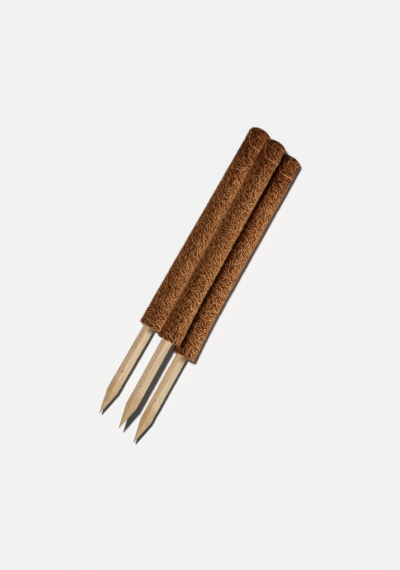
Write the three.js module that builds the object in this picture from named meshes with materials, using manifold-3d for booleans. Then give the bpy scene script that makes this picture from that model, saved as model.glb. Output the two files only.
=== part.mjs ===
// A set of three moss poles: coir rolls on pointed softwood stakes, lying in a row on a flat surface with
// the middle pole on top of the other two. Millimetres, +Z up, tops towards +Y and points towards -Y.

import * as THREE from 'three';
import { mergeVertices } from 'three/addons/utils/BufferGeometryUtils.js';
import Module from 'manifold-3d';

const wasm = await Module();
wasm.setup();

// Coir roll of one pole
const COIR_LENGTH = 278; // foot of the coir to its crown
const COIR_DIAMETER = 27.4;
const MAT_THICKNESS = 3.2;

// Half-lapped seam of the coir mat
const LAP_WIDTH = 10.8;
const LAP_EDGE = 0.8; // thickness of the two skived edges
const SEAM_ANGLE = THREE.MathUtils.degToRad(140); // outer edge, from the front round to the right

// Flare of the mat where its foot stands off the core
const FLARE = 3.2;
const FLARE_LENGTH = 90;
const FLARE_ANGLE = THREE.MathUtils.degToRad(65); // from the front round to the right

// Softwood stake
const STAKE_SIDE = 11.5;
const STAKE_EDGE_RADIUS = 2.6;
const STAKE_REACH = 122; // tip to the foot of the coir
const POINT_LENGTH = 30;
const TIP_SIDE = 1;

// Domed coir cap on the upper end
const CAP_DEPTH = 25.3; // crown to the joint with the mat
const CAP_CROWN = 7; // thickness over the stake
const DOME_RISE = 4.6; // crown above the shoulder
const DOME_POWER = 2.4; // 2 is a parabola, more is flatter on top

// Tie thread, a loop drawn into the cap that has slipped up to the left shoulder
const THREAD_DIAMETER = 0.9;
const SLIP_SHARPNESS = 10.5; // how narrow the slipped stretch is
const SLIP_ANGLE = THREE.MathUtils.degToRad(-72); // from the front round to the right

// Lie of the outer poles, measured in plan from the middle pole's axis
const LEFT_FOOT_SPACING = 27.8;
const LEFT_TOP_SPACING = 23.3;
const LEFT_SHIFT = 4.3; // towards the tops
const RIGHT_FOOT_SPACING = 24.3;
const RIGHT_TOP_SPACING = 24.7;
const RIGHT_SHIFT = -7.3;

// Clearance between pieces that seat on each other
const FIT = 0.3;

// Smoothness of the faceted shapes
const FACETS = 32; // round a roll, with a flat facet at its back
const CORNER_STEPS = 4; // round each edge of the stake
const DOME_STEPS = 5;
const MAT_STEPS = 7;
const THREAD_STEPS = 44;
const THREAD_SIDES = 6;

// Sizes that follow from the driving ones
const COIR_RADIUS = COIR_DIAMETER / 2;
const MAT_INNER = COIR_RADIUS - MAT_THICKNESS;
const CORE_RADIUS = MAT_INNER - FIT;
const CAP_JOINT = COIR_LENGTH - CAP_DEPTH;
const CAP_CEILING = COIR_LENGTH - CAP_CROWN;
const MAT_LENGTH = CAP_JOINT - FIT;
const CORE_LENGTH = CAP_CEILING - FIT;
const FACET_ANGLE = (2 * Math.PI) / FACETS;
const LAP_ANGLE = LAP_WIDTH / COIR_RADIUS;
const LAP_START = SEAM_ANGLE - LAP_ANGLE; // inner edge of the mat
const SEAM_GAP = FIT / COIR_RADIUS; // the clearance as an angle
const SLIP_RISE = CAP_DEPTH - DOME_RISE - 2 * THREAD_DIAMETER;

// Finishes
const SOFTWOOD = { color: 0xd8be96, roughness: 0.75, metalness: 0 };
const PACKED_COIR = { color: 0x5a3820, roughness: 1, metalness: 0 };
const COIR_FELT = { color: 0x76492a, roughness: 0.95, metalness: 0 };
const UNDYED_THREAD = { color: 0xbf9a6e, roughness: 0.85, metalness: 0 };

// Angle of a corner of the roll, counted in facets from the front round to the right: a facet, not a
// corner, faces the front, the sides and the back
function cornerAngle(steps) {
  return (steps + 0.5) * FACET_ANGLE;
}

// Point of an upright pole's cross-section at an angle from its front, which faces -Y
function polar(radius, angle) {
  return new THREE.Vector2(radius * Math.sin(angle), -radius * Math.cos(angle));
}

// How far the mat stands out from its plain round at an angle and a height above its foot
function flareAt(angle, height) {
  const along = Math.max(0, 1 - height / FLARE_LENGTH) ** 2;
  const around = Math.max(0, Math.cos(angle - FLARE_ANGLE)) ** 2;
  return FLARE * along * around;
}

// Closed surface through rings of points: its ends are capped, or joined to each other in a loop
function skin(rings, isLoop) {
  const count = rings[0].length;
  const spans = isLoop ? rings.length : rings.length - 1;
  const triangles = [];
  for (let row = 0; row < spans; row += 1) {
    const low = row * count;
    const high = ((row + 1) % rings.length) * count;
    for (let i = 0; i < count; i += 1) {
      const j = (i + 1) % count;
      triangles.push(low + i, low + j, high + j, low + i, high + j, high + i);
    }
  }
  const last = (rings.length - 1) * count;
  for (let i = 1; !isLoop && i < count - 1; i += 1) {
    triangles.push(0, i + 1, i, last, last + i, last + i + 1);
  }
  const geometry = new THREE.BufferGeometry().setFromPoints(rings.flat());
  geometry.setIndex(triangles);
  geometry.computeVertexNormals();
  return geometry;
}

// Solid of a closed geometry: shared corners are merged and the triangles that collapse are dropped
function solidOf(geometry) {
  const bare = geometry.clone();
  bare.deleteAttribute('normal');
  bare.deleteAttribute('uv');
  const merged = mergeVertices(bare);
  const corners = merged.getIndex().array;
  const triangles = [];
  for (let i = 0; i < corners.length; i += 3) {
    const [a, b, c] = corners.subarray(i, i + 3);
    if (a !== b && b !== c && c !== a) {
      triangles.push(a, b, c);
    }
  }
  return new wasm.Manifold(new wasm.Mesh({
    numProp: 3,
    vertProperties: new Float32Array(merged.getAttribute('position').array),
    triVerts: new Uint32Array(triangles),
  }));
}

// Geometry of a solid that has been cut
function geometryOf(solid) {
  const mesh = solid.getMesh();
  const geometry = new THREE.BufferGeometry();
  geometry.setAttribute('position', new THREE.BufferAttribute(mesh.vertProperties, 3));
  geometry.setIndex(new THREE.BufferAttribute(mesh.triVerts, 1));
  geometry.computeVertexNormals();
  return geometry;
}

// Square with rounded corners, standing on a corner, so that the stake shows an edge to the front
function stakeOutline(side, radius) {
  const corner = Math.SQRT2 * (side / 2 - radius);
  const outline = new THREE.Shape();
  for (let quarter = 0; quarter < 4; quarter += 1) {
    const turn = (quarter * Math.PI) / 2;
    const half = Math.PI / 4;
    outline.absarc(corner * Math.cos(turn), corner * Math.sin(turn), radius, turn - half, turn + half);
  }
  return outline;
}

// Square stake with eased edges, sawn to a four-sided point with a blunt tip
function stakeGeometry() {
  const outline = stakeOutline(STAKE_SIDE, STAKE_EDGE_RADIUS).getPoints(CORNER_STEPS);
  const ring = (scale, z) => outline.map((p) => new THREE.Vector3(p.x * scale, p.y * scale, z));
  return skin([
    ring(TIP_SIDE / STAKE_SIDE, -STAKE_REACH),
    ring(1, POINT_LENGTH - STAKE_REACH),
    ring(1, CORE_LENGTH),
  ], false);
}

// Coir packing that fills the roll, with a bore for the stake
function coreGeometry() {
  const corners = Array.from({ length: FACETS }, (_, i) => polar(CORE_RADIUS, cornerAngle(i)));
  const round = new THREE.Shape(corners);
  round.holes.push(stakeOutline(STAKE_SIDE + 2 * FIT, STAKE_EDGE_RADIUS + FIT));
  return new THREE.ExtrudeGeometry(round, {
    depth: CORE_LENGTH,
    steps: 1,
    curveSegments: CORNER_STEPS,
    bevelEnabled: false,
  });
}

// Two angles with the corners of the roll that lie between them
function cornersBetween(from, to) {
  const first = Math.ceil(from / FACET_ANGLE - 0.5);
  const count = Math.ceil(to / FACET_ANGLE - 0.5) - first;
  return [from, ...Array.from({ length: count }, (_, i) => cornerAngle(first + i)), to];
}

// Thickness of the mat's outer ply over the lap, which thins towards its edge
function outerPly(angle) {
  return THREE.MathUtils.lerp(MAT_THICKNESS - LAP_EDGE - FIT, LAP_EDGE, (angle - LAP_START) / LAP_ANGLE);
}

// Cross-section of the mat: one full turn and a lap, with each edge skived so that the seam lies flush
function matOutline() {
  const fullTurn = 2 * Math.PI;
  const lap = cornersBetween(LAP_START, SEAM_ANGLE);
  const outside = cornersBetween(SEAM_ANGLE + SEAM_GAP, SEAM_ANGLE + fullTurn);
  const inside = cornersBetween(LAP_START, LAP_START + fullTurn - SEAM_GAP);
  return new THREE.Shape([
    ...lap.map((angle) => polar(COIR_RADIUS - outerPly(angle) - FIT, angle)),
    polar(COIR_RADIUS - LAP_EDGE - FIT, SEAM_ANGLE + SEAM_GAP),
    ...outside.map((angle) => polar(COIR_RADIUS, angle)),
    ...lap.reverse().map((angle) => polar(COIR_RADIUS - outerPly(angle), angle)),
    polar(COIR_RADIUS - outerPly(LAP_START), LAP_START - SEAM_GAP),
    ...inside.reverse().map((angle) => polar(MAT_INNER, angle)),
  ]);
}

// Coir mat wrapped round the core: straight over most of its length, flared to one side at its foot
function matGeometry() {
  const geometry = new THREE.ExtrudeGeometry(matOutline(), {
    depth: MAT_LENGTH,
    steps: MAT_STEPS,
    bevelEnabled: false,
  });
  const places = geometry.getAttribute('position');
  const point = new THREE.Vector3();
  for (let i = 0; i < places.count; i += 1) {
    point.fromBufferAttribute(places, i);
    // The steps crowd towards the foot, where the mat curves
    const height = MAT_LENGTH * (point.z / MAT_LENGTH) ** 2;
    const angle = Math.atan2(point.x, -point.y);
    const radius = Math.hypot(point.x, point.y);
    const flared = polar(radius + flareAt(angle, height), angle);
    places.setXYZ(i, flared.x, flared.y, height);
  }
  geometry.computeVertexNormals();
  return geometry;
}

// Felt cap: a cup over the top of the core whose outside ends in a low dome, grooved by the thread
function capGeometry() {
  const inner = CORE_RADIUS + FIT;
  const profile = [
    new THREE.Vector2(0, CAP_CEILING),
    new THREE.Vector2(inner, CAP_CEILING),
    new THREE.Vector2(inner, CAP_JOINT),
    new THREE.Vector2(COIR_RADIUS, CAP_JOINT),
  ];
  for (let i = DOME_STEPS; i >= 0; i -= 1) {
    const share = i / DOME_STEPS;
    profile.push(new THREE.Vector2(COIR_RADIUS * share, COIR_LENGTH - DOME_RISE * share ** DOME_POWER));
  }
  const cup = new THREE.LatheGeometry(profile, FACETS, cornerAngle(0)).rotateX(Math.PI / 2);
  const groove = threadGeometry(THREAD_DIAMETER + 2 * FIT, THREAD_DIAMETER);
  return geometryOf(solidOf(cup).subtract(solidOf(groove)));
}

// Point on the middle of the thread, which follows the joint of the cap except where it has slipped up
function threadPoint(angle) {
  const slip = ((1 + Math.cos(angle - SLIP_ANGLE)) / 2) ** SLIP_SHARPNESS;
  const place = polar(COIR_RADIUS - FIT - THREAD_DIAMETER / 2, angle);
  return new THREE.Vector3(place.x, place.y, CAP_JOINT + THREAD_DIAMETER / 2 + SLIP_RISE * slip);
}

// Round sections carried along the closed path of the thread, with their outer half drawn out where they
// cut its groove
function threadGeometry(diameter, drawnOut) {
  const stepAngle = (2 * Math.PI) / THREAD_STEPS;
  const rings = Array.from({ length: THREAD_STEPS }, (_, i) => {
    const angle = i * stepAngle;
    const centre = threadPoint(angle);
    const along = threadPoint(angle + stepAngle).sub(threadPoint(angle - stepAngle)).normalize();
    const out = new THREE.Vector3(centre.x, centre.y, 0).normalize();
    const across = new THREE.Vector3().crossVectors(along, out);
    return Array.from({ length: THREAD_SIDES }, (_unused, side) => {
      const turn = (side * 2 * Math.PI) / THREAD_SIDES;
      const outward = (Math.cos(turn) * diameter) / 2;
      return centre.clone()
        .addScaledVector(out, outward > 0 ? outward + drawnOut : outward)
        .addScaledVector(across, (Math.sin(turn) * diameter) / 2);
    });
  });
  return skin(rings, true);
}

// One mesh with a material of its own
function piece(name, geometry, finish) {
  const mesh = new THREE.Mesh(geometry, new THREE.MeshStandardMaterial(finish));
  mesh.name = name;
  return mesh;
}

// One pole, standing upright with the foot of its coir at the origin and its front towards -Y
function uprightPole(name) {
  const pole = new THREE.Group();
  pole.add(
    piece(`${name}_stake`, stakeGeometry(), SOFTWOOD),
    piece(`${name}_fibre_core`, coreGeometry(), PACKED_COIR),
    piece(`${name}_coir_mat`, matGeometry(), COIR_FELT),
    piece(`${name}_end_cap`, capGeometry(), COIR_FELT),
    piece(`${name}_tie_thread`, threadGeometry(THREAD_DIAMETER, 0), UNDYED_THREAD),
  );
  return pole;
}

// One pole laid down with its front up, its foot at a place on the surface and its top off to one side
function lyingPole(name, foot, topOffset) {
  const upright = uprightPole(name);
  upright.rotation.x = -Math.PI / 2;
  const lying = new THREE.Group();
  lying.add(upright);
  lying.position.copy(foot);
  lying.rotation.z = -Math.atan(topOffset / COIR_LENGTH);
  return lying;
}

// Height of the middle pole's axis over a neighbour's at a spacing in plan, clear of a flare between them
function restRise(spacing, flare) {
  const reach = COIR_DIAMETER + FIT + flare;
  return Math.sqrt(Math.max(0, reach ** 2 - spacing ** 2));
}

// The middle pole's flare where its foot bears on the right pole
function footFlare() {
  const below = Math.atan2(restRise(RIGHT_FOOT_SPACING, 0), RIGHT_FOOT_SPACING);
  return flareAt(Math.PI / 2 + below, 0);
}

const middleRise = Math.max(
  restRise(LEFT_FOOT_SPACING, 0),
  restRise(LEFT_TOP_SPACING, 0),
  restRise(RIGHT_FOOT_SPACING, footFlare()),
  restRise(RIGHT_TOP_SPACING, 0),
);

const set = new THREE.Group();
set.add(
  lyingPole('left', new THREE.Vector3(-LEFT_FOOT_SPACING, LEFT_SHIFT, 0),
    LEFT_FOOT_SPACING - LEFT_TOP_SPACING),
  lyingPole('middle', new THREE.Vector3(0, 0, middleRise), 0),
  lyingPole('right', new THREE.Vector3(RIGHT_FOOT_SPACING, RIGHT_SHIFT, 0),
    RIGHT_TOP_SPACING - RIGHT_FOOT_SPACING),
);

// The set stands on z = 0 with its middle over the origin
const bounds = new THREE.Box3().setFromObject(set, true);
const centre = bounds.getCenter(new THREE.Vector3());
set.position.set(-centre.x, -centre.y, -bounds.min.z);

export default set;
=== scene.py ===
"""Looks of a set of three moss poles: coir rolls on pointed softwood stakes, lying side by side.

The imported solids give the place, lean and size of every pole. The pieces made here lie on those solids:
coconut fibres, strand by strand, over the felt of the mats and caps, a twisted yarn in its groove, loose
packing at the foot, and sawn stakes with grain and a pin knot. Lengths are in metres.
"""

import logging
import math
from dataclasses import dataclass
from enum import Enum
from typing import Any

import bpy
import numpy as np
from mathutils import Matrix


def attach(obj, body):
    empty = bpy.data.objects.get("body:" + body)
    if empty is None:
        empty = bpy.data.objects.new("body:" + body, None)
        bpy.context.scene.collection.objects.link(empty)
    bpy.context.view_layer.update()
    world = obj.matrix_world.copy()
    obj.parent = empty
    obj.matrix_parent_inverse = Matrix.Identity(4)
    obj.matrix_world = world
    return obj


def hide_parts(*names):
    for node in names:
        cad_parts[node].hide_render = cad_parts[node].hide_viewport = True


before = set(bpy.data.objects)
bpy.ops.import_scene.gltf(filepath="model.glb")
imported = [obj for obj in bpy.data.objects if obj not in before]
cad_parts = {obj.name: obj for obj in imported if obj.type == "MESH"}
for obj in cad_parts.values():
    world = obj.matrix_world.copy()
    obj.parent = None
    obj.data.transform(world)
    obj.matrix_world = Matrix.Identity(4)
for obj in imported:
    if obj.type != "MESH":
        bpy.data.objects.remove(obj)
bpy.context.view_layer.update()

Array = np.ndarray
Random = np.random.Generator
Material = bpy.types.Material
Node = bpy.types.Node
NodeTree = bpy.types.NodeTree
Piece = bpy.types.Object
Socket = bpy.types.NodeSocket

LOG = logging.getLogger("moss_poles")
MM = 0.001
FULL_TURN = 2 * math.pi
FIRST_SEED = 11

# Framing of the photograph, which looks straight down on the poles
PHOTO_PIXEL = 1.2244 * MM
PHOTO_HEIGHT = 570 * PHOTO_PIXEL
CAMERA_TURN = math.radians(29)
CAMERA_CENTRE = (2.1 * MM, 2.0 * MM)
CAMERA_DISTANCE = 6.0
CAMERA_REACH = 100.0
SENSOR = 36.0
AXIS_HEIGHT = 14 * MM

# The floor, and the surround as it lights the poles and as it shows
FLOOR_HALF = 10.0
FLOOR_GAP = 0.05 * MM
SURROUND_LIGHT = "343434"
SURROUND_SHOWN = "f0f0f0"


class Lie(Enum):
    """Where a pole lies in the row, seen from above with the points towards the viewer."""

    LEFT = "left"
    MIDDLE = "middle"
    RIGHT = "right"


class Slot(Enum):
    """Material slots of the record."""

    SOFTWOOD = "softwood"
    PACKED_COIR = "packed_coir"
    COIR_MAT = "coir_mat"
    THREAD = "thread"


class Draw(Enum):
    """Numbers that set the random draws of a pole's pieces apart."""

    ROLL = 1
    CAP = 2
    PACKING = 3
    STAKE = 4
    UNDER = 5
    OVER = 6
    FUZZ = 7
    SWAY = 8
    FOOT = 9


# Helpers for colours, nodes and meshes


def linear(code: str) -> tuple[float, float, float, float]:
    """Turns an sRGB hex colour to a linear one.

    Args:
        code: six hex digits.

    Returns:
        Linear red, green, blue and an alpha of 1.
    """
    shares = [int(code[i:i + 2], 16) / 255 for i in (0, 2, 4)]
    red, green, blue = (s / 12.92 if s <= 0.04045 else ((s + 0.055) / 1.055) ** 2.4 for s in shares)
    return red, green, blue, 1.0


def add(
    tree: NodeTree, kind: str, inputs: dict[str | int, Any] | None = None, **settings: Any
) -> Node:
    """Adds a node with its settings and links.

    Args:
        tree: node tree to add to.
        kind: the node's type.
        inputs: a value or an output socket for each input, by name or number.
        **settings: the node's own properties; stops fills a colour ramp with places and hex colours.

    Returns:
        The new node.
    """
    node = tree.nodes.new(kind)
    stops = settings.pop("stops", ())
    for name, value in settings.items():
        setattr(node, name, value)
    for i, (place, code) in enumerate(stops):
        ramp = node.color_ramp.elements
        stop = ramp[i] if i < len(ramp) else ramp.new(place)
        stop.position = place
        stop.color = linear(code)
    for name, value in (inputs or {}).items():
        if isinstance(value, Socket):
            tree.links.new(value, node.inputs[name])
        else:
            node.inputs[name].default_value = value
    return node


def seen(tree: NodeTree) -> Socket:
    """Adds the test of whether a ray looks at the surface, as the camera, a mirror or glass does.

    Args:
        tree: node tree to add to.

    Returns:
        A socket that gives 1 for such a look, and 0 for light on its way to another surface.
    """
    path = add(tree, "ShaderNodeLightPath")
    look = path.outputs["Is Camera Ray"]
    for ray in ("Is Glossy Ray", "Is Transmission Ray"):
        look = add(tree, "ShaderNodeMath", {0: look, 1: path.outputs[ray]}, operation="MAXIMUM").outputs[0]
    return look


def new_material(name: str) -> tuple[Material, NodeTree, Node]:
    """Makes a material with one shader.

    Args:
        name: the material's name.

    Returns:
        The material, its node tree and its shader node.
    """
    material = bpy.data.materials.new(name)
    material.use_nodes = True
    return material, material.node_tree, material.node_tree.nodes["Principled BSDF"]


def ring_angles(columns: int) -> Array:
    """Angles of points that stand evenly round a ring."""
    return np.arange(columns) * FULL_TURN / columns


def round_faces(rows: int, columns: int, is_loop: bool = False) -> Array:
    """Quads of a grid whose columns close on themselves, facing out where rows rise and columns turn right.

    Args:
        rows: number of rings.
        columns: points in a ring.
        is_loop: whether the last ring joins the first.

    Returns:
        Indices, four to a face.
    """
    row = np.arange(rows if is_loop else rows - 1)[:, None]
    column = np.arange(columns)[None, :]
    above = (row + 1) % rows
    beside = (column + 1) % columns
    corners = [
        row * columns + column,
        row * columns + beside,
        above * columns + beside,
        above * columns + column,
    ]
    return np.stack(corners, axis=-1).reshape(-1, 4)


def end_fans(rows: int, columns: int) -> Array:
    """Triangles from the first and the last ring of a grid to the two end points that follow it.

    Args:
        rows: number of rings.
        columns: points in a ring.

    Returns:
        Indices, three to a face.
    """
    column = np.arange(columns)
    beside = (column + 1) % columns
    first = np.full(columns, rows * columns)
    last = (rows - 1) * columns
    start = np.stack([first, beside, column], axis=-1)
    end = np.stack([last + column, last + beside, first + 1], axis=-1)
    return np.concatenate([start, end])


def new_piece(
    name: str, points: Array, faces: list[Array], tone: Array, cells: Array | None = None
) -> Piece:
    """Makes a smooth mesh object at the origin from whole arrays.

    Args:
        name: the piece's name.
        points: places of the vertices.
        faces: arrays of indices, each with faces of one number of corners.
        tone: a value for each vertex, cut off below 0 and above 1, which its material reads.
        cells: a place on the piece's own map for each corner of a face, or None.

    Returns:
        The object.
    """
    mesh = bpy.data.meshes.new(name)
    corners = np.concatenate([part.ravel() for part in faces])
    sizes = np.concatenate([np.full(len(part), part.shape[1]) for part in faces])
    mesh.vertices.add(len(points.reshape(-1, 3)))
    mesh.vertices.foreach_set("co", points.astype(np.float32).ravel())
    mesh.loops.add(len(corners))
    mesh.loops.foreach_set("vertex_index", corners.astype(np.int32))
    mesh.polygons.add(len(sizes))
    mesh.polygons.foreach_set("loop_start", (np.cumsum(sizes) - sizes).astype(np.int32))
    mesh.update(calc_edges=True)
    mesh.shade_smooth()
    values = np.clip(tone, 0, 1).astype(np.float32).ravel()
    mesh.attributes.new("tone", "FLOAT", "POINT").data.foreach_set("value", values)
    if cells is not None:
        mesh.uv_layers.new(name="OFBake").data.foreach_set("uv", cells.astype(np.float32).ravel())
    piece = bpy.data.objects.new(name, mesh)
    bpy.context.scene.collection.objects.link(piece)
    return piece


def felt_noise(
    rng: Random, shape: tuple[int, int], size: tuple[float, float], grain: float
) -> Array:
    """Random relief that repeats round a roll: white noise blurred by a bell curve as wide as the grain.

    Args:
        rng: source of the noise.
        shape: rows and columns of the grid.
        size: length and girth that the grid covers.
        grain: width of the bumps.

    Returns:
        Heights with a mean of 0 and a spread of 1.
    """
    rows = np.fft.fftfreq(shape[0], size[0] / shape[0])[:, None]
    columns = np.fft.fftfreq(shape[1], size[1] / shape[1])[None, :]
    blur = np.exp(-((math.pi * grain) ** 2) * (rows ** 2 + columns ** 2))
    relief = np.fft.ifft2(np.fft.fft2(rng.standard_normal(shape)) * blur).real
    return (relief - relief.mean()) / relief.std()


def smooth_step(value: Array, start: float, end: float) -> Array:
    """Share that eases from 0 at start to 1 at end, by 3 t squared less 2 t cubed."""
    t = np.clip((value - start) / (end - start), 0, 1)
    return t * t * (3 - 2 * t)


# Finishes


@dataclass(frozen=True)
class FibreFinish:
    """Plant fibre: coconut fibre that is retted, carded and bonded with latex, or undyed jute.

    It gives the eye dull strands, each of one tone along its length, with a mottle as long as the stretch
    over which a fibre keeps its colour.
    """

    name: str
    shadow: str
    middle: str
    light: str
    mottle: float = 1.6 * MM
    mottle_depth: str = "d6c6b6"
    mottle_range: tuple[float, float] = (0.38, 0.62)
    detail: float = 3.0
    bump: float = 0.3
    bump_height: float = 0.2 * MM
    roughness: float = 0.72
    specular: float = 0.1

    def material(self) -> Material:
        """Makes the material: the strand's tone picks its colour, and a fine mottle breaks it up.

        Returns:
            The material.
        """
        material, tree, shader = new_material(self.name)
        tone = add(tree, "ShaderNodeAttribute", attribute_name="tone")
        stops = ((0.0, self.shadow), (0.5, self.middle), (1.0, self.light))
        colour = add(tree, "ShaderNodeValToRGB", {"Fac": tone.outputs["Fac"]}, stops=stops)
        place = add(tree, "ShaderNodeTexCoord")
        mottle = add(tree, "ShaderNodeTexNoise",
                     {"Vector": place.outputs["Object"], "Scale": 1 / self.mottle, "Detail": self.detail})
        deep, plain = self.mottle_range
        patches = add(tree, "ShaderNodeValToRGB", {"Fac": mottle.outputs["Fac"]},
                      stops=((deep, self.mottle_depth), (plain, "ffffff")))
        mixed = add(tree, "ShaderNodeMix",
                    {0: 1.0, 6: colour.outputs["Color"], 7: patches.outputs["Color"]},
                    data_type="RGBA", blend_type="MULTIPLY")
        relief = add(tree, "ShaderNodeBump",
                     {"Height": mottle.outputs["Fac"], "Strength": self.bump, "Distance": self.bump_height})
        tree.links.new(mixed.outputs[2], shader.inputs["Base Color"])
        tree.links.new(relief.outputs["Normal"], shader.inputs["Normal"])
        shader.inputs["Roughness"].default_value = self.roughness
        shader.inputs["Specular IOR Level"].default_value = self.specular
        return material


@dataclass(frozen=True)
class SoftwoodFinish:
    """Sawn softwood, unfinished: pale straw with grain along the stake, warmer round the point.

    The flecks are resin canals, which are really about 0.1 mm wide. They are drawn coarser here, so that
    they show.
    """

    name: str = "softwood_sawn"
    pale: str = "dbc9a9"
    grain: str = "ceb892"
    fleck: str = "d9cbb8"
    warm_tint: str = "f0e5d8"
    knot: str = "866444"
    grain_width: float = 1.9 * MM
    grain_length: float = 60 * MM
    grain_range: tuple[float, float] = (0.36, 0.58)
    fleck_width: float = 0.5 * MM
    fleck_length: float = 14 * MM
    fleck_range: tuple[float, float] = (0.34, 0.5)
    fleck_share: float = 0.7
    detail: float = 3.0
    bump: float = 0.25
    bump_height: float = 0.15 * MM
    roughness: float = 0.68
    specular: float = 0.3

    def material(self) -> Material:
        """Makes the material: streaks and fine flecks along Y, a warm tint by its tone, and a dark knot.

        Returns:
            The material.
        """
        material, tree, shader = new_material(self.name)
        place = add(tree, "ShaderNodeTexCoord").outputs["Object"]
        noises = []
        for width, length in ((self.grain_width, self.grain_length), (self.fleck_width, self.fleck_length)):
            stretch = add(tree, "ShaderNodeMapping",
                          {"Vector": place, "Scale": (1 / width, 1 / length, 1 / width)})
            noise = add(tree, "ShaderNodeTexNoise",
                        {"Vector": stretch.outputs["Vector"], "Scale": 1.0, "Detail": self.detail})
            noises.append(noise.outputs["Fac"])
        streaks, flecks = noises
        dark, pale = self.grain_range
        grain = add(tree, "ShaderNodeValToRGB", {"Fac": streaks},
                    stops=((dark, self.grain), (pale, self.pale)))
        dark, pale = self.fleck_range
        lines = add(tree, "ShaderNodeValToRGB", {"Fac": flecks}, stops=((dark, self.fleck), (pale, "ffffff")))
        tone, mark = (
            add(tree, "ShaderNodeAttribute", attribute_name=name).outputs["Fac"] for name in ("tone", "knot")
        )
        wood = add(tree, "ShaderNodeMix",
                   {0: self.fleck_share, 6: grain.outputs["Color"], 7: lines.outputs["Color"]},
                   data_type="RGBA", blend_type="MULTIPLY")
        tinted = add(tree, "ShaderNodeMix", {0: tone, 6: wood.outputs[2], 7: linear(self.warm_tint)},
                     data_type="RGBA", blend_type="MULTIPLY")
        marked = add(tree, "ShaderNodeMix", {0: mark, 6: tinted.outputs[2], 7: linear(self.knot)},
                     data_type="RGBA")
        relief = add(tree, "ShaderNodeBump",
                     {"Height": flecks, "Strength": self.bump, "Distance": self.bump_height})
        tree.links.new(marked.outputs[2], shader.inputs["Base Color"])
        tree.links.new(relief.outputs["Normal"], shader.inputs["Normal"])
        shader.inputs["Roughness"].default_value = self.roughness
        shader.inputs["Specular IOR Level"].default_value = self.specular
        return material


@dataclass(frozen=True)
class FloorFinish:
    """Matt grey paper with no sheen, which its own lamp makes pale.

    Light that comes off the coir and the wood tints the shadows on a grey sheet less than on a white one. A
    weak glow, which only a look at the sheet meets, keeps them from black, and the sheet is dimmer still to
    the light that it throws back on the poles.
    """

    name: str = "floor_matt_paper"
    shown: str = "a0a0a0"
    thrown: str = "5c5c5c"
    glow: float = 0.035

    def material(self) -> Material:
        """Makes the material: one colour and a glow for a look at it, another colour for the light it throws.

        Returns:
            The material.
        """
        material, tree, shader = new_material(self.name)
        look = seen(tree)
        colour = add(tree, "ShaderNodeMix", {0: look, 6: linear(self.thrown), 7: linear(self.shown)},
                     data_type="RGBA")
        glow = add(tree, "ShaderNodeMath", {0: look, 1: self.glow}, operation="MULTIPLY")
        tree.links.new(colour.outputs[2], shader.inputs["Base Color"])
        tree.links.new(glow.outputs[0], shader.inputs["Emission Strength"])
        shader.inputs["Roughness"].default_value = 1.0
        shader.inputs["Specular IOR Level"].default_value = 0.0
        return material


# Strands

# Steps of the rank from column to column and from row to row: the plastic number's inverse, and its square
RANK_STEPS = np.array([[0.7548776662], [0.5698402910]])

# A strand's cell on its map: room for its side, and the two places of its end faces
CELL_MARGIN = 0.05
CELL_LENGTH = 0.75
CELL_GIRTH = 0.9
CELL_ENDS = np.array([[0.9, 0.25], [0.9, 0.75]])
CELL_END_RADIUS = 0.06


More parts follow.
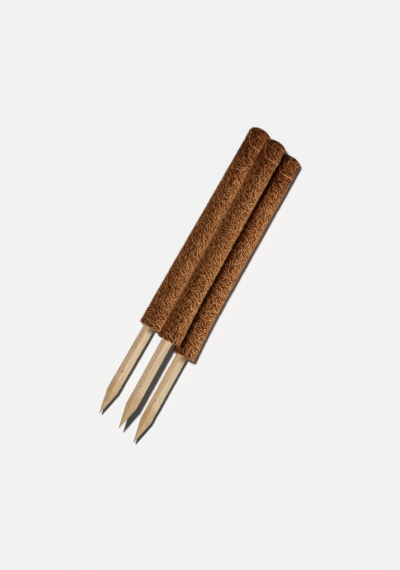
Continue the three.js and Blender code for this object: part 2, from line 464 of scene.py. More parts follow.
@dataclass(frozen=True)
class StrandLayer:
    """One layer of coconut fibres on the coir.

    Real fibres are 0.1 to 0.4 mm thick. Those that have to show are drawn as the small bundles that they
    cling together in. Turns are in radians.

    Attributes:
        name: ending of the piece's name.
        draw: number of its random draws.
        count: number of strands.
        thickness: mean thickness of a strand.
        shortest, longest: range of the lengths.
        curl: spread of the bend along a strand.
        deepest, proudest: heights over the skin of the lowest and the highest strand.
        darkest, lightest: tones of those two: painted shade on the deep strands and painted light on the
        proud ones, over the fibres' own spread of tone.
        stray: how far one end may stand off.
        lean, spread: mean and spread of the headings, from straight across the pole.
        flow: how far neighbours turn together.
        flatness: height of the section over its width.
        points, sides: points along a strand, and corners of its section.
        least_waves, most_waves: range of the slow waves along a strand.
        wave_share: swing of a wave over the curl.
        dive: how deep the ends dive, in thicknesses.
        thinnest, thickest: range of the thickness over its mean.
        end_thinning: share of the thickness that is lost at the ends.
    """

    name: str
    draw: Draw
    count: int
    thickness: float
    shortest: float
    longest: float
    curl: float
    deepest: float
    proudest: float
    darkest: float
    lightest: float
    stray: float = 0.0
    lean: float = 0.0
    spread: float = math.pi
    flow: float = 0.0
    flatness: float = 0.7
    points: int = 9
    sides: int = 3
    least_waves: float = 0.5
    most_waves: float = 1.3
    wave_share: float = 0.45
    dive: float = 0.7
    thinnest: float = 0.7
    thickest: float = 1.2
    end_thinning: float = 0.65

    @property
    def shares(self) -> Array:
        """Shares of a strand's length at its points, in one row."""
        return np.linspace(0, 1, self.points)[None, :]

    @property
    def ends(self) -> Array:
        """How near the points are to an end: the cube of the way from the middle, 1 at both ends."""
        return np.abs(2 * self.shares - 1) ** 3

    def courses(self, rng: Random, sway: Array | float = 0.0) -> Array:
        """Flat courses of the strands, centred on zero.

        Each walks at a steady step while its heading, which scatters about the lean from straight across,
        turns by a random bend plus one slow wave.

        Args:
            rng: source of the shapes.
            sway: turn of the heading at each strand's place, which its neighbours share.

        Returns:
            Places across and along, for each strand and point.
        """
        one_each = (self.count, 1)
        length = rng.uniform(self.shortest, self.longest, one_each)
        bend = rng.normal(0, self.curl, one_each) * (2 * self.shares - 1)
        phase = rng.uniform(0, FULL_TURN, one_each)
        waves = rng.uniform(self.least_waves, self.most_waves, one_each)
        wave = self.wave_share * self.curl * np.sin(FULL_TURN * waves * self.shares + phase)
        heading = rng.normal(self.lean, self.spread, one_each) + self.flow * sway + bend + wave
        step = length / (self.points - 1)
        course = np.cumsum(np.stack([np.cos(heading), np.sin(heading)], axis=-1) * step[..., None], axis=1)
        return course - course.mean(axis=1, keepdims=True)

    def scatter(self, rng: Random, aspect: float) -> tuple[Array, Array]:
        """Even scatter: a strand lies anywhere in its own square cell of the sheet, in shuffled order.

        A strand's rank steps on by an irrational share from column to column and by another from row to row,
        so that neighbours differ.

        Args:
            rng: source of the places and the order.
            aspect: length of the sheet over its width.

        Returns:
            Shares across and along the sheet for each strand, and its rank from 0, deep, to 1, proud.
        """
        columns = round(math.sqrt(self.count / aspect))
        rows = math.ceil(self.count / columns)
        cell = rng.permutation(self.count)
        corner = np.stack([cell % columns, cell // columns], axis=-1)
        share = (corner + rng.uniform(0, 1, corner.shape)) / [columns, rows]
        rank = corner @ RANK_STEPS % 1
        return share, rank

    def lifts(self, rng: Random, rank: Array) -> Array:
        """Heights of the strands over the skin: an arch that dives in at both ends, and one end may stray.

        Args:
            rng: source of the straying.
            rank: place of each strand between the deepest and the proudest.

        Returns:
            A height for each strand and point.
        """
        level = self.deepest + (self.proudest - self.deepest) * rank
        dive = self.dive * self.thickness * self.ends
        stray = self.stray * rng.uniform(0, 1, (self.count, 1)) * self.shares ** 3
        return level - dive + stray

    def radii(self, rng: Random) -> Array:
        """Half thicknesses: a random size for each strand, drawn thin towards both ends."""
        size = rng.uniform(self.thinnest, self.thickest, (self.count, 1)) * self.thickness / 2
        return size * (1 - self.end_thinning * self.ends)

    def tones(self, rank: Array, dimming: Array | float = 0.0) -> Array:
        """A tone for each vertex, the same all along a strand, lighter the prouder the strand lies.

        Args:
            rank: place of each strand between the deepest and the proudest; it sets painted shade on the deep
            strands and painted light on the proud ones.
            dimming: how much darker than that each strand is.

        Returns:
            The tones in the order of the vertices.
        """
        # Painted shade and light: the tone rises with the same rank that sets the strand's height, so deep
        # strands come out darker and proud ones lighter, over the fibres' own spread of tone.
        tone = self.darkest + (self.lightest - self.darkest) * rank[:, 0] - dimming
        return np.repeat(tone, self.points * self.sides)

    def tubes(self, paths: Array, outs: Array, radii: Array) -> tuple[Array, list[Array]]:
        """Tubes round the strands: flattened rings that stand square to the course, a flat side out.

        Args:
            paths: places of the strands' points.
            outs: directions out of the coir at those points.
            radii: half thicknesses there.

        Returns:
            Places of the vertices, and the faces: side quads, then one polygon at each end.
        """
        course = np.gradient(paths, axis=1)
        course /= np.linalg.norm(course, axis=-1, keepdims=True)
        across = np.cross(course, outs)
        across /= np.linalg.norm(across, axis=-1, keepdims=True)
        out = np.cross(across, course)
        turn = (np.arange(self.sides) + 0.5) * FULL_TURN / self.sides
        height = self.flatness * np.cos(turn)[:, None]
        ring = height * out[..., None, :] + np.sin(turn)[:, None] * across[..., None, :]
        points = paths[..., None, :] + radii[..., None, None] * ring
        first = (np.arange(len(paths)) * self.points * self.sides)[:, None, None]
        quads = round_faces(self.points, self.sides)[None] + first
        rim = np.arange(self.sides)
        ends = np.stack([rim[::-1], (self.points - 1) * self.sides + rim])[None] + first
        return points.reshape(-1, 3), [quads.reshape(-1, 4), ends.reshape(-1, self.sides)]

    def cells(self) -> Array:
        """The strands' own map: a square cell for each, its length across the cell and its girth up it.

        Returns:
            A place on the map for each corner of the faces, in their order.
        """
        side = math.ceil(math.sqrt(self.count))
        strand = np.arange(self.count)
        corner = np.stack([strand % side, strand // side], axis=-1)[:, None, None, :] / side
        column, row = np.meshgrid(np.arange(self.sides), np.arange(self.points - 1))
        along = np.stack([row, row, row + 1, row + 1], axis=-1).reshape(-1, 4) / (self.points - 1)
        around = np.stack([column, column + 1, column + 1, column], axis=-1).reshape(-1, 4) / self.sides
        patch = np.stack([CELL_MARGIN + CELL_LENGTH * along, CELL_MARGIN + CELL_GIRTH * around], axis=-1)
        quads = corner + patch[None] / side
        turn = ring_angles(self.sides)
        rim = np.stack([np.cos(turn), np.sin(turn)], axis=-1) * CELL_END_RADIUS
        ends = corner + (CELL_ENDS[:, None, :] + rim[None])[None] / side
        return np.concatenate([quads.reshape(-1, 2), ends.reshape(-1, 2)])


# The under layer lies deepest and takes the darkest tones: painted shade in the gaps between the strands
# above it.
UNDER = StrandLayer(
    "under", Draw.UNDER, count=3400, thickness=0.52 * MM, shortest=6 * MM, longest=13 * MM, curl=1.0,
    deepest=-1.2 * MM, proudest=-0.7 * MM, darkest=0.0, lightest=0.4, lean=-0.3, spread=1.2, points=8,
)
OVER = StrandLayer(
    "over", Draw.OVER, count=6400, thickness=0.42 * MM, shortest=3.6 * MM, longest=7.4 * MM, curl=0.6,
    deepest=-0.8 * MM, proudest=0.2 * MM, darkest=-0.35, lightest=1.15, lean=-0.75, spread=0.42, flow=0.45,
    points=5,
)
FUZZ = StrandLayer(
    "fuzz", Draw.FUZZ, count=560, thickness=0.26 * MM, shortest=6 * MM, longest=12 * MM, curl=0.7,
    deepest=-0.3 * MM, proudest=0.1 * MM, darkest=0.6, lightest=0.9, stray=0.6 * MM, lean=-0.5, spread=0.5,
    flow=0.4, points=7,
)
FOOT = StrandLayer(
    "foot", Draw.FOOT, count=420, thickness=0.6 * MM, shortest=4 * MM, longest=9 * MM, curl=0.9,
    deepest=-0.4 * MM, proudest=0.2 * MM, darkest=0.1, lightest=0.9, stray=0.8 * MM, points=6,
)


# Sizes of a pole's pieces


@dataclass(frozen=True)
class CoirSizes:
    """The mat and the cap: their form, the felt between the strands, and its tones from 0 to 1.

    The foot flares to one side and the top is domed. The felt lies sunk under the strands, with coarse lumps,
    finer pits and a line at the mat's seam. The strands over it darken towards the cap.
    """

    thickness: float = 3.2 * MM
    flare: float = 3.2 * MM
    flare_length: float = 90 * MM
    flare_angle: float = math.radians(65)
    dome_power: float = 2.4
    shoulder_blend: float = 2 * MM
    crown_reach: float = 0.97
    calm_share: float = 0.6
    cap_gap: float = 0.1 * MM
    ceiling_gap: float = 0.3 * MM
    columns: int = 128
    mat_rows: int = 420
    cap_rows: int = 72
    sunk: float = 1.3 * MM
    relief: float = 0.2 * MM
    lump_width: float = 2.4 * MM
    lump_share: float = 0.75
    pit_width: float = 1.1 * MM
    pit_share: float = 0.5
    seam_angle: float = math.radians(140)
    seam_width: float = 0.7 * MM
    seam_depth: float = 0.8 * MM
    mat_tone: float = 0.3
    cap_tone: float = 0.25
    crown_tone: float = 0.2
    tone_relief: float = 0.2
    seam_dimming: float = 0.3
    cap_dimming: float = 0.28
    dimming_length: float = 40 * MM
    sway_shape: tuple[int, int] = (280, 86)
    sway_width: float = 10 * MM
    overhang: float = 0.8 * MM
    foot_bore: float = 0.6
    foot_margin: float = 0.5 * MM


@dataclass(frozen=True)
class PackingSizes:
    """The loose packing: a tube round the stake, with a rough foot that is a little sunk."""

    columns: int = 96
    foot_rows: int = 9
    wall_rows: int = 12
    clearance: float = 0.3 * MM
    sunk: float = 0.6 * MM
    relief: float = 0.35 * MM
    lump_width: float = 1.5 * MM
    foot_width: float = 6 * MM
    tone: float = 0.35
    tone_relief: float = 0.25


@dataclass(frozen=True)
class StakeSizes:
    """The stake: a square section that tapers to the tip, with saw marks on the point and a pin knot.

    The wood turns warmer above the point, from warm_start down to warm_end, and stays so to the tip.
    """

    side: float = 11.8 * MM
    squareness: float = 4.1
    point_length: float = 30 * MM
    tip_side: float = 1.0 * MM
    columns: int = 72
    point_rows: int = 46
    shank_rows: int = 110
    hidden_rows: int = 8
    hidden_start: float = 4 * MM
    waviness: float = 0.07 * MM
    wave_width: float = 9 * MM
    saw_depth: float = 0.05 * MM
    saw_pitch: float = 1.7 * MM
    saw_skew: float = 3.0
    saw_fade: tuple[float, float] = (-1.5 * MM, 0.5 * MM)
    warm_end: float = 6 * MM
    warm_start: float = 24 * MM
    knot_height: float = -64.5 * MM
    knot_angle: float = math.radians(-9)
    knot_length: float = 1.1 * MM
    knot_width: float = 0.8 * MM

    def radius(self, angle: Array) -> Array:
        """Radius of the section, a square with rounded corners and a corner up.

        With u and v the cosine and sine of the angle less 45 degrees, it is half the side over the n-th root
        of the sum of their n-th powers, n being the squareness.

        Args:
            angle: angles round the stake.

        Returns:
            The radii.
        """
        turned = angle - math.pi / 4
        power = self.squareness
        total = np.abs(np.cos(turned)) ** power + np.abs(np.sin(turned)) ** power
        return self.side / 2 / total ** (1 / power)


@dataclass(frozen=True)
class YarnSizes:
    """The tie: a loop of twisted plies round the cap's joint, slipped up towards the shoulder on one side."""

    thickness: float = 0.78 * MM
    rows: int = 440
    columns: int = 6
    plies: int = 2
    twists: int = 26
    ply_swell: float = 1.15
    slip_sharpness: float = 10.5
    slip_angle: float = math.radians(-72)
    joint_gap: float = 0.45 * MM
    shoulder_gap: float = 1.8 * MM
    lift: float = 0.1 * MM
    tone: float = 0.5
    # How much lighter a ply is where it lies on top of the twist and darker where it dips under: painted
    # light and shade.
    ply_shade_swing: float = 0.3


# Poles

MERGE_DIGITS = 6
RIM_SHARE = 0.999


def node_points(node: str) -> Array:
    """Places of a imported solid's corners, each once.

    Args:
        node: the solid's name.

    Returns:
        The places, a row for each.
    """
    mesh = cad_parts[node].data
    places = np.empty(len(mesh.vertices) * 3, np.float32)
    mesh.vertices.foreach_get("co", places)
    return np.unique(np.round(places.reshape(-1, 3).astype(float), MERGE_DIGITS), axis=0)


@dataclass(frozen=True)
class PoleFrame:
    """Axis and sizes of one pole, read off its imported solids.

    An angle is counted from the top of the lying pole round to its right, and a height along the axis from
    the foot of the coir towards the crown.
    """

    foot: Array
    along: Array
    right: Array
    up: Array
    radius: float
    length: float
    joint: float
    shoulder: float
    tip: float
    stake_top: float

    @classmethod
    def read(cls, lie: Lie) -> "PoleFrame":
        """Finds the axis as the longest direction of the stake, and the sizes from the ends of the solids.

        Args:
            lie: which pole.

        Returns:
            The pole's frame.
        """
        stake, cap, mat = (node_points(f"{lie.value}_{node}") for node in ("stake", "end_cap", "coir_mat"))
        centre = stake.mean(axis=0)
        along = np.linalg.svd(stake - centre)[2][0]
        along *= np.sign(along @ (cap.mean(axis=0) - centre))
        up = np.array([0.0, 0.0, 1.0])
        start = ((mat - centre) @ along).min()
        heights = (cap - centre) @ along - start
        radii = np.linalg.norm(cap - centre - np.outer((cap - centre) @ along, along), axis=1)
        stake_heights = (stake - centre) @ along - start
        return cls(
            foot=centre + start * along,
            along=along,
            right=np.cross(along, up),
            up=up,
            radius=radii.max(),
            length=heights.max(),
            joint=heights.min(),
            shoulder=heights[radii > RIM_SHARE * radii.max()].max(),
            tip=stake_heights.min(),
            stake_top=stake_heights.max(),
        )

    def place(self, angle: Array, height: Array, radius: Array) -> Array:
        """Points at an angle, a height and a radius: foot + height along + radius towards the angle."""
        return self.foot + height[..., None] * self.along + radius[..., None] * self.outward(angle)

    def outward(self, angle: Array) -> Array:
        """Directions out from the axis: sine of the angle to the right plus cosine of it up."""
        return np.sin(angle)[..., None] * self.right + np.cos(angle)[..., None] * self.up


@dataclass(frozen=True)
class Finishes:
    """The materials that the poles share."""

    strands: Material
    felt: Material
    packing: Material
    softwood: Material
    yarn: Material


@dataclass
class MossPole:
    """One pole: stake, packing, mat, cap, yarn and the strands that cover the coir."""

    lie: Lie
    seed: int
    axis: PoleFrame
    finishes: Finishes
    coir: CoirSizes = CoirSizes()
    packing: PackingSizes = PackingSizes()
    stake: StakeSizes = StakeSizes()
    yarn: YarnSizes = YarnSizes()

    def rng(self, draw: Draw) -> Random:
        """Seeded source for one of the pole's pieces."""
        return np.random.default_rng([self.seed, draw.value])

    def settle(self, piece: Piece, slot: Slot, material: Material, *nodes: str) -> Piece:
        """Dresses a piece, fixes it to the pole's body and hides the solids that it stands for.

        Args:
            piece: the new piece.
            slot: the record's slot for its finish; not used.
            material: its finish.
            *nodes: endings of the names of the solids that it stands for.

        Returns:
            The piece.
        """
        piece.data.materials.append(material)
        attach(piece, f"{self.lie.value}_pole")
        if nodes:
            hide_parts(*(f"{self.lie.value}_{node}" for node in nodes))
        LOG.info("%s: %d faces", piece.name, len(piece.data.polygons))
        return piece

    def flare_at(self, angle: Array, height: Array) -> Array:
        """How far the mat stands off at its foot: less by a square along, and by a squared cosine around.

        Args:
            angle: angles round the pole.
            height: heights along the axis.

        Returns:
            The distances.
        """
        along = np.clip(1 - height / self.coir.flare_length, 0, 1) ** 2
        around = np.clip(np.cos(angle - self.coir.flare_angle), 0, 1) ** 2
        return self.coir.flare * along * around

    def skin(self, angle: Array, run: Array) -> tuple[Array, Array, Array, Array]:
        """Outer skin of the coir, by angle and by the run from the foot up and over the shoulder.

        Up to the shoulder the radius is the roll's, plus the flare. Past it the radius shrinks with the run,
        and the height is the crown's less the rise times the radius share to the dome's power.

        Args:
            angle: angles round the pole.
            run: runs along the profile, from the foot to the crown.

        Returns:
            Radius, height, and the radial and axial shares of the direction out of the skin.
        """
        axis = self.axis
        power = self.coir.dome_power
        blend = self.coir.shoulder_blend
        rise = axis.length - axis.shoulder
        share = 1 - np.clip((run - axis.shoulder) / axis.radius, 0, 1)
        height = np.where(run > axis.shoulder, axis.length - rise * share ** power, run)
        slope = rise * power / axis.radius * share ** (power - 1)
        over = smooth_step(run, axis.shoulder - blend, axis.shoulder + blend)
        radial = (1 - over) + over * slope
        size = np.hypot(radial, over)
        radius = axis.radius * share + self.flare_at(angle, run)
        return radius, height, radial / size, over / size

    def on_skin(self, angle: Array, run: Array, lift: Array) -> tuple[Array, Array]:
        """Points at a height over the skin, with the directions out of it there.

        Args:
            angle: angles round the pole.
            run: runs along the profile.
            lift: heights over the skin.

        Returns:
            Places and directions.
        """
        radius, height, radial, axial = self.skin(angle, run)
        places = self.axis.place(angle, height + lift * axial, radius + lift * radial)
        outs = radial[..., None] * self.axis.outward(angle) + axial[..., None] * self.axis.along
        return places, outs

    def dimming(self, run: Array) -> Array:
        """How much darker the fibres are: the cap's felt is the darkest, and the mat darkens towards it."""
        start = self.axis.joint - self.coir.dimming_length
        return self.coir.cap_dimming * smooth_step(run, start, self.axis.joint)

    def sway(self, share: Array) -> Array:
        """Flow of the carded fibres: a random turn that changes over a centimetre, the same for every layer.

        Args:
            share: shares across and along the mat for each strand.

        Returns:
            A turn for each strand, with a spread of 1.
        """
        rows, columns = self.coir.sway_shape
        size = (self.axis.length, FULL_TURN * self.axis.radius)
        turns = felt_noise(self.rng(Draw.SWAY), (rows, columns), size, self.coir.sway_width)
        column, row = (share * [columns, rows]).astype(int).T
        return turns[row, column][:, None]

    def relief(self, rng: Random, shape: tuple[int, int], length: float) -> Array:
        """Relief of the felt between the strands: coarse lumps and finer pits.

        Args:
            rng: source of the relief.
            shape: rows and columns of the grid.
            length: length that the rows cover.

        Returns:
            Heights with a spread of about 1.
        """
        coir = self.coir
        size = (length, FULL_TURN * self.axis.radius)
        lumps = felt_noise(rng, shape, size, coir.lump_width)
        pits = felt_noise(rng, shape, size, coir.pit_width)
        return coir.lump_share * lumps + coir.pit_share * pits

    def build_roll(self) -> Piece:
        """Mat of felted coir: the sunk skin, closed by an inner wall, with a bell-shaped dent at the seam.

        Returns:
            The piece.
        """
        axis = self.axis
        coir = self.coir
        columns = ring_angles(coir.columns)
        angle, run = np.meshgrid(columns, np.linspace(0, axis.joint, coir.mat_rows))
        relief = self.relief(self.rng(Draw.ROLL), angle.shape, axis.joint)
        seam = np.exp(-(((angle - coir.seam_angle) * axis.radius / coir.seam_width) ** 2))
        outer, _ = self.on_skin(angle, run, -coir.sunk + coir.relief * relief - coir.seam_depth * seam)
        inner_angle, inner_run = np.meshgrid(columns, [axis.joint, 0.0])
        inner_radius = axis.radius - coir.thickness + self.flare_at(inner_angle, inner_run)
        inner = axis.place(inner_angle, inner_run, inner_radius)
        outer_tone = coir.mat_tone + coir.tone_relief * relief - coir.seam_dimming * seam
        points = np.concatenate([outer, inner])
        tone = np.concatenate([outer_tone, np.zeros_like(inner_run)])
        faces = round_faces(len(points), coir.columns, True)
        piece = new_piece(f"{self.lie.value}_coir_roll", points, [faces], tone)
        return self.settle(piece, Slot.COIR_MAT, self.finishes.felt, "coir_mat")

    def build_cap(self) -> Piece:
        """Felt cap: a cup whose outside follows the skin over the shoulder to the crown.

        Returns:
            The piece.
        """
        axis = self.axis
        coir = self.coir
        columns = ring_angles(coir.columns)
        start = axis.joint + coir.cap_gap
        crown = axis.shoulder + axis.radius * coir.crown_reach
        ceiling = axis.stake_top + coir.ceiling_gap
        angle, run = np.meshgrid(columns, np.linspace(start, crown, coir.cap_rows))
        relief = self.relief(self.rng(Draw.CAP), angle.shape, crown - axis.joint)
        calm = 1 - smooth_step(run, axis.shoulder + coir.calm_share * axis.radius, crown)
        outer, _ = self.on_skin(angle, run, -coir.sunk + coir.relief * relief * calm)
        inner_angle, inner_height = np.meshgrid(columns, [ceiling, start])
        inner_radius = np.full_like(inner_height, axis.radius - coir.thickness)
        inner = axis.place(inner_angle, inner_height, inner_radius)
        ends = axis.foot + np.array([[ceiling], [axis.length - coir.sunk]]) * axis.along
        outer_tone = coir.cap_tone + coir.tone_relief * relief
        points = np.concatenate([inner.reshape(-1, 3), outer.reshape(-1, 3), ends])
        tone = np.concatenate([np.zeros(inner_height.size), outer_tone.ravel(), [0.0, coir.crown_tone]])
        rows = len(inner) + len(outer)
        faces = [round_faces(rows, coir.columns), end_fans(rows, coir.columns)]
        piece = new_piece(f"{self.lie.value}_coir_cap", points, faces, tone)
        return self.settle(piece, Slot.COIR_MAT, self.finishes.felt, "end_cap")

    def lay_strands(
        self, layer: StrandLayer, paths: Array, outs: Array, radii: Array, tone: Array
    ) -> Piece:
        """Makes the piece of one layer, with every strand kept off the floor.

        Args:
            layer: the layer's sizes.
            paths: places of the strands' points.
            outs: directions out of the coir at those points.
            radii: half thicknesses there.
            tone: a tone for each vertex.

        Returns:
            The piece.
        """
        paths[..., 2] = np.maximum(paths[..., 2], radii + FLOOR_GAP)
        points, faces = layer.tubes(paths, outs, radii)
        piece = new_piece(f"{self.lie.value}_coir_strands_{layer.name}", points, faces, tone, layer.cells())
        return self.settle(piece, Slot.COIR_MAT, self.finishes.strands)

    def build_strands(self, layer: StrandLayer) -> Piece:
        """Strands over the whole coir: flat courses laid on the skin, those of the crown on its disc.

        Args:
            layer: the layer's sizes.

        Returns:
            The piece.
        """
        axis = self.axis
        rng = self.rng(layer.draw)
        share, rank = layer.scatter(rng, axis.shoulder / (FULL_TURN * axis.radius))
        courses = layer.courses(rng, self.sway(share))
        lift = layer.lifts(rng, rank)
        radii = layer.radii(rng)
        crown_share = axis.radius / (2 * axis.shoulder)
        is_crown = (np.arange(layer.count) < crown_share * layer.count)[:, None]
        start = (share * [FULL_TURN, axis.shoulder])[:, None, :]
        disc = axis.radius * np.sqrt(share[:, 1:])
        across = disc * np.sin(start[..., 0]) + courses[..., 0]
        upward = disc * np.cos(start[..., 0]) + courses[..., 1]
        angle = np.where(is_crown, np.arctan2(across, upward), start[..., 0] + courses[..., 0] / axis.radius)
        run = np.where(is_crown, axis.shoulder + axis.radius - np.hypot(across, upward),
                       start[..., 1] + courses[..., 1])
        paths, outs = self.on_skin(angle, np.clip(run, -self.coir.overhang, None), lift)
        # Tone and height share the rank: painted shade on the deep strands, painted light on the proud ones.
        tone = layer.tones(rank, self.dimming(run.mean(axis=1)))
        return self.lay_strands(layer, paths, outs, radii, tone)

    def build_foot(self, layer: StrandLayer) -> Piece:
        """Cut strand ends that lie across the foot of the coir, between the stake and the mat's edge.

        Args:
            layer: the layer's sizes.

        Returns:
            The piece.
        """
        axis = self.axis
        rng = self.rng(layer.draw)
        rank = rng.uniform(0, 1, (layer.count, 1))
        courses = layer.courses(rng)
        lift = layer.lifts(rng, rank)
        radii = layer.radii(rng)
        turn = rng.uniform(0, FULL_TURN, (layer.count, 1))
        inner = self.coir.foot_bore * self.stake.side
        distance = np.sqrt(rng.uniform(inner ** 2, axis.radius ** 2, (layer.count, 1)))
        across = distance * np.sin(turn) + courses[..., 0]
        upward = distance * np.cos(turn) + courses[..., 1]
        angle = np.arctan2(across, upward)
        edge = axis.radius + self.flare_at(angle, np.zeros_like(angle)) - self.coir.foot_margin
        radius = np.clip(np.hypot(across, upward), inner, edge)
        paths = axis.place(angle, -lift, radius)
        outs = np.broadcast_to(-axis.along, paths.shape)
        # Tone and height share the rank: painted shade on the deeper cut ends, painted light on the prouder
        # ones.
        return self.lay_strands(layer, paths, outs, radii, layer.tones(rank))

    def build_packing(self) -> Piece:
        """Loose packing: a tube from the stake's section out to the mat, with random relief on its foot.

        Returns:
            The piece.
        """
        axis = self.axis
        packing = self.packing
        angle = ring_angles(packing.columns)[None, :]
        outer_radius = axis.radius - self.coir.thickness - packing.clearance
        bore = self.stake.radius(angle) + packing.clearance
        share = np.linspace(0, 1, packing.foot_rows)[:, None]
        shape = (packing.foot_rows, packing.columns)
        size = (packing.foot_width, FULL_TURN * outer_radius)
        relief = felt_noise(self.rng(Draw.PACKING), shape, size, packing.lump_width)
        foot_height = packing.sunk + packing.relief * relief * np.sin(math.pi * share)
        foot_radius = bore + (outer_radius - bore) * share
        wall_height = np.linspace(0, axis.stake_top, packing.wall_rows)[1:, None] + 0 * angle
        height = np.concatenate([foot_height, wall_height, wall_height[::-1]])
        radius = np.concatenate([foot_radius, outer_radius + 0 * wall_height, bore + 0 * wall_height])
        points = axis.place(angle + 0 * height, height, radius)
        tone = np.zeros_like(height)
        tone[:packing.foot_rows] = packing.tone + packing.tone_relief * relief
        faces = round_faces(len(height), packing.columns, True)
        piece = new_piece(f"{self.lie.value}_loose_packing", points, [faces], tone)
        return self.settle(piece, Slot.PACKED_COIR, self.finishes.packing, "fibre_core")

    def build_stake(self) -> Piece:
        """Stake: the section carried along the axis, narrowed to the tip and roughened by the saw.

        The saw marks are a sine along the point, skewed by a sine round it. The knot is a bell-shaped spot.

        Returns:
            The piece.
        """
        axis = self.axis
        stake = self.stake
        shoulder = axis.tip + stake.point_length
        point = np.linspace(axis.tip, shoulder, stake.point_rows)[:-1]
        shank = np.linspace(shoulder, stake.hidden_start, stake.shank_rows)
        hidden = np.linspace(stake.hidden_start, axis.stake_top, stake.hidden_rows)[1:]
        angle, height = np.meshgrid(ring_angles(stake.columns), np.concatenate([point, shank, hidden]))
        taper = np.clip((height - axis.tip) / stake.point_length, 0, 1)
        narrow = stake.tip_side / stake.side
        size = (axis.stake_top - axis.tip, FULL_TURN * stake.side / 2)
        waviness = stake.waviness * felt_noise(self.rng(Draw.STAKE), angle.shape, size, stake.wave_width)
        fade_start, fade_end = stake.saw_fade
        is_cut = 1 - smooth_step(height, shoulder + fade_start, shoulder + fade_end)
        saw_turn = FULL_TURN * height / stake.saw_pitch + stake.saw_skew * np.sin(2 * angle)
        saw_marks = stake.saw_depth * np.sin(saw_turn) * is_cut * taper
        radius = stake.radius(angle) * (narrow + (1 - narrow) * taper) + (waviness + saw_marks) * taper
        ends = axis.foot + np.array([[axis.tip], [axis.stake_top]]) * axis.along
        points = np.concatenate([axis.place(angle, height, radius).reshape(-1, 3), ends])
        warmth = 1 - smooth_step(height, shoulder + stake.warm_end, shoulder + stake.warm_start)
        tone = np.append(warmth.ravel(), [1.0, 0.0])
        faces = [round_faces(*angle.shape), end_fans(*angle.shape)]
        piece = new_piece(f"{self.lie.value}_sawn_stake", points, faces, tone)
        turned = angle - stake.knot_angle
        offset = np.hypot((height - stake.knot_height) / stake.knot_length,
                          np.sin(turned) * radius / stake.knot_width)
        knot = np.where(np.cos(turned) > 0, np.exp(-(offset ** 2)), 0.0)
        marks = piece.data.attributes.new("knot", "FLOAT", "POINT").data
        marks.foreach_set("value", np.append(knot.ravel(), [0.0, 0.0]).astype(np.float32))
        return self.settle(piece, Slot.SOFTWOOD, self.finishes.softwood, "stake")

    def build_yarn(self) -> Piece:
        """Two-ply yarn: plies twisted round the loop that follows the cap's joint and slips up on the left.

        The loop's run is the joint plus a rise times ((1 + cos) / 2) to the slip's sharpness. Each ply is a
        closed tube whose centre circles the loop once a twist.

        Returns:
            The piece.
        """
        axis = self.axis
        yarn = self.yarn
        angle = ring_angles(yarn.rows)
        slip = ((1 + np.cos(angle - yarn.slip_angle)) / 2) ** yarn.slip_sharpness
        run = axis.joint + yarn.joint_gap + (axis.shoulder - axis.joint - yarn.shoulder_gap) * slip
        core, out = self.on_skin(angle, run, np.full(yarn.rows, yarn.lift))
        course = np.roll(core, -1, axis=0) - np.roll(core, 1, axis=0)
        course /= np.linalg.norm(course, axis=-1, keepdims=True)
        across = np.cross(course, out)
        turn = (angle * yarn.twists)[None, :] + ring_angles(yarn.plies)[:, None]
        quarter = yarn.thickness / 4
        centre = core + quarter * (np.cos(turn)[..., None] * out + np.sin(turn)[..., None] * across)
        centre[..., 2] = np.maximum(centre[..., 2], quarter + FLOOR_GAP)
        rim = ring_angles(yarn.columns)
        ring = np.cos(rim)[:, None] * out[:, None, :] + np.sin(rim)[:, None] * across[:, None, :]
        points = centre[:, :, None, :] + yarn.ply_swell * quarter * ring[None]
        ply = round_faces(yarn.rows, yarn.columns, True)
        faces = np.concatenate([ply + i * yarn.rows * yarn.columns for i in range(yarn.plies)])
        # Painted light and shade: each ply is lighter where the twist brings it out on top and darker where
        # it dips under the other.
        tone = yarn.tone + yarn.ply_shade_swing * np.cos(turn)[..., None] + 0 * rim
        piece = new_piece(f"{self.lie.value}_tie_yarn", points.reshape(-1, 3), [faces], tone)
        return self.settle(piece, Slot.THREAD, self.finishes.yarn, "tie_thread")

    def build(self) -> list[Piece]:
        """Builds and dresses every piece of the pole.

        Returns:
            The pieces, the stake first.
        """
        return [
            self.build_stake(),
            self.build_packing(),
            self.build_roll(),
            self.build_cap(),
            self.build_strands(UNDER),
            self.build_strands(OVER),
            self.build_strands(FUZZ),
            self.build_foot(FOOT),
            self.build_yarn(),
        ]


# Studio


@dataclass(frozen=True)
class StudioSun:
    """A soft distant lamp that lights only the things it is meant for.

    A level of 1 shows a surface that faces it in the colour it is written in. Angles are in degrees: the
    lamp's own width, and its bearing, counted from the right towards the tops of the poles, and height.
    """

    name: str
    level: float
    softness: float
    azimuth: float
    elevation: float
    colour: str = "ffffff"

    def switch_on(self, lit: list[Piece], shading: list[Piece] | None = None) -> None:
        """Adds the lamp.

        Args:
            lit: what it lights.
            shading: what casts shadows in its light, or None for everything.
        """
        lamp = bpy.data.lights.new(self.name, "SUN")
        lamp.energy = self.level * math.pi
        lamp.color = linear(self.colour)[:3]
        lamp.angle = math.radians(self.softness)
        holder = bpy.data.objects.new(self.name, lamp)
        holder.rotation_euler = (0, math.radians(90 - self.elevation), math.radians(self.azimuth))
        bpy.context.scene.collection.objects.link(holder)
        holder.light_linking.receiver_collection = gathered(f"{self.name}_lit", lit)
        if shading is not None:
            holder.light_linking.blocker_collection = gathered(f"{self.name}_shading", shading)


def gathered(name: str, pieces: list[Piece]) -> bpy.types.Collection:
    """Collection of some pieces, which a lamp's linking names.

    Args:
        name: the collection's name.
        pieces: what it holds.

    Returns:
        The collection.
    """
    collection = bpy.data.collections.new(name)
    for piece in pieces:
        collection.objects.link(piece)
    return collection


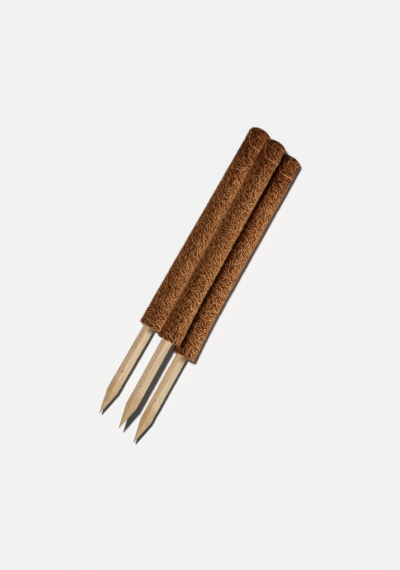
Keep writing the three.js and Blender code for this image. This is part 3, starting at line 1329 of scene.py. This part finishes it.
WARM_WHITE = "ffeee5"
LEFT_SIDE = StudioSun("left_side_lamp", level=3.1, softness=6, azimuth=-10, elevation=0.5)
COIR_SIDE = StudioSun("coir_side_lamp", level=3.35, softness=6, azimuth=-10, elevation=0.5)
COIR_FILL = StudioSun("coir_fill_lamp", 0.98, softness=24, azimuth=180, elevation=47, colour=WARM_WHITE)
RIGHT_FILL = StudioSun("right_fill_lamp", 0.82, softness=24, azimuth=180, elevation=56, colour=WARM_WHITE)
STAKE_SIDE = StudioSun("stake_side_lamp", level=0.81, softness=24, azimuth=40, elevation=25)
STAKE_FILL = StudioSun("stake_fill_lamp", 0.69, softness=90, azimuth=215, elevation=60, colour=WARM_WHITE)
FLOOR_LAMP = StudioSun("floor_lamp", level=2.47, softness=4, azimuth=156, elevation=74.5)


def light_studio(floor: Piece, poles: list[list[Piece]]) -> None:
    """Lights each pole as if it lay alone, with a bright right side, a dark left side and a thin shadow.

    A low lamp from the right grazes the fibres of each roll, and of the other poles only the right one shades
    the middle one from it. A warm fill comes from the left. It stands steeper over the right pole, so that
    the middle pole's shadow on it stays narrow. The stakes have a side lamp and a fill of their own. The
    middle roll casts no shadow in the side lamp, because it would shade the left stake too. A high lamp on
    the floor alone gives the thin shadows.

    Args:
        floor: the sheet under the poles.
        poles: the pieces of each pole, the stake first.
    """
    left, middle, right = poles
    stakes = [pole[0] for pole in poles]
    coir = [piece for pole in poles for piece in pole[1:]]
    LEFT_SIDE.switch_on(left[1:], left)
    COIR_SIDE.switch_on(right[1:], right)
    COIR_SIDE.switch_on(middle[1:], middle + right)
    COIR_FILL.switch_on(left[1:] + middle[1:])
    RIGHT_FILL.switch_on(right[1:])
    STAKE_SIDE.switch_on(stakes, left[1:] + right[1:])
    STAKE_FILL.switch_on(stakes, coir)
    FLOOR_LAMP.switch_on([floor])


def set_surround() -> None:
    """Sets an even surround, dim as it lights the poles and pale where it is looked at."""
    world = bpy.data.worlds.new("pale_surround")
    bpy.context.scene.world = world
    world.use_nodes = True
    tree = world.node_tree
    colour = add(tree, "ShaderNodeMix", {0: seen(tree), 6: linear(SURROUND_LIGHT), 7: linear(SURROUND_SHOWN)},
                 data_type="RGBA")
    tree.links.new(colour.outputs[2], tree.nodes["Background"].inputs["Color"])


def lay_floor() -> Piece:
    """Lays a flat sheet under the poles.

    Returns:
        The sheet.
    """
    corners = FLOOR_HALF * np.array([[-1, -1, 0], [1, -1, 0], [1, 1, 0], [-1, 1, 0]])
    floor = new_piece("floor", corners, [np.array([[0, 1, 2, 3]])], np.zeros(4))
    floor.data.materials.append(FloorFinish().material())
    return floor


def set_camera() -> None:
    """Sets the camera straight above the poles, turned so that they lean to the right as in the photo."""
    data = bpy.data.cameras.new("camera")
    data.sensor_width = SENSOR
    data.lens = SENSOR * CAMERA_DISTANCE / PHOTO_HEIGHT
    data.clip_end = CAMERA_REACH
    camera = bpy.data.objects.new("camera", data)
    camera.location = (*CAMERA_CENTRE, AXIS_HEIGHT + CAMERA_DISTANCE)
    camera.rotation_euler = (0, 0, CAMERA_TURN)
    bpy.context.scene.collection.objects.link(camera)
    bpy.context.scene.camera = camera


def main() -> None:
    """Builds the poles, then the camera, the floor and the lights."""
    logging.basicConfig(level=logging.INFO, format="%(message)s")
    bpy.context.scene.view_settings.view_transform = "Standard"
    finishes = Finishes(
        strands=FibreFinish("coir_strands_bonded", "451d0a", "a15927", "f4c384", specular=0.03).material(),
        # The felt is a darker brown than the strands: coir's own brown, darkened further as painted shade in
        # the gaps between the strands.
        felt=FibreFinish("coir_felt_bonded", "2a1306", "5e3517", "8a5428", specular=0.02).material(),
        packing=FibreFinish("coir_packing_loose", "2a1608", "5a3820", "8a5c38").material(),
        softwood=SoftwoodFinish().material(),
        yarn=FibreFinish("jute_yarn_undyed", "8a5c32", "c08e5a", "e0b684", roughness=0.85).material(),
    )
    poles = [
        MossPole(lie, seed, PoleFrame.read(lie), finishes).build()
        for seed, lie in enumerate(Lie, start=FIRST_SEED)
    ]
    set_camera()
    light_studio(lay_floor(), poles)
    set_surround()


if __name__ == "__main__":
    main()
